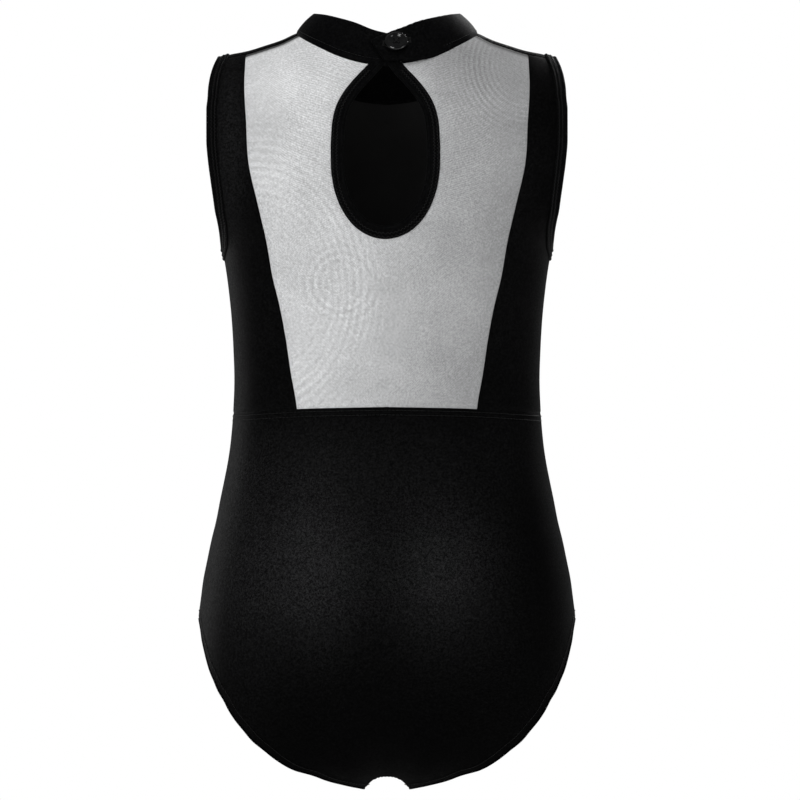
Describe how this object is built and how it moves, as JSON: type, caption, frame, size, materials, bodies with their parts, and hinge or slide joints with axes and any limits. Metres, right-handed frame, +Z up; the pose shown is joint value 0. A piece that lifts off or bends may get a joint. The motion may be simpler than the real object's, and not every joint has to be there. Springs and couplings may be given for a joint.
{
  "type": "gymnastics leotard",
  "caption": "Child's sleeveless high-neck gymnastics leotard with a mesh back, a teardrop opening, and a collar closed by a button behind the neck.",
  "frame": {"origin": "on the centre plane and the side-seam plane, at the level of the lowest point of the leg edges", "axes": "+Z up, wearer's front towards -Y, wearer's back towards +Y, wearer's left towards +X"},
  "size_m": [0.2496, 0.1703, 0.5123],
  "materials": {
    "knit": "black nylon-elastane knit, soft sheen",
    "trim": "black knit binding, soft sheen",
    "mesh": "pale grey power net",
    "lining": "matt black lining",
    "elastic": "natural elastic",
    "thread": "black polyester thread",
    "label": "white satin tape, blank",
    "button": "polished black"
  },
  "bodies": {
    "garment": {"front_bodice": "knit", "front_bodice_lining": "lining", "front_brief": "knit", "lower_back_panel": "knit", "left_back_side_panel": "knit", "right_back_side_panel": "knit", "mesh_back_panel": "mesh", "crotch_gusset": "knit", "crotch_lining": "lining", "collar_band": "trim", "keyhole_binding": "trim", "keyhole_binding_stitching": "thread", "left_armhole_binding": "trim", "right_armhole_binding": "trim", "left_armhole_elastic": "elastic", "right_armhole_elastic": "elastic", "left_armhole_stitching": "thread", "right_armhole_stitching": "thread", "left_leg_hem": "knit", "right_leg_hem": "knit", "left_leg_elastic": "elastic", "right_leg_elastic": "elastic", "left_leg_hem_stitching": "thread", "right_leg_hem_stitching": "thread", "waist_seam_stitching": "thread", "left_side_seam_stitching": "thread", "right_side_seam_stitching": "thread", "mesh_seam_stitching": "thread", "shoulder_seam_stitching": "thread", "shoulder_stay_tapes": "elastic", "collar_seam_stitching": "thread", "crotch_seam_stitching": "thread", "care_label_stitching": "thread"},
    "closure_end": {"collar_buttonhole_end": "trim", "buttonhole_stitching": "thread", "buttonhole_bartacks": "thread"},
    "shank": {"button_shank": "thread"},
    "button": {"button": "button", "button_thread": "thread"},
    "label": {"care_label": "label"}
  },
  "joints": [
    {"name": "closure_fold", "type": "hinge", "parent": "garment", "child": "closure_end", "pos_m": [-0.02595, 0.04023, 0.49692], "axis": [-0.27, -0.6451, 0.7148], "range_deg": [0, 100]},
    {"name": "button_tilt", "type": "hinge", "parent": "garment", "child": "shank", "pos_m": [-0.00628, 0.0463, 0.49038], "axis": [0.9996, -0.0272, 0], "range_deg": [-10, 10]},
    {"name": "button_twist", "type": "hinge", "parent": "shank", "child": "button", "pos_m": [-0.00628, 0.0463, 0.49038], "axis": [0.0208, 0.7647, 0.6441], "range_deg": [-60, 60]},
    {"name": "label_flap", "type": "hinge", "parent": "garment", "child": "label", "pos_m": [0.0981, 0, 0.271], "axis": [0, 0, 1], "range_deg": [-70, 70]}
  ]
}
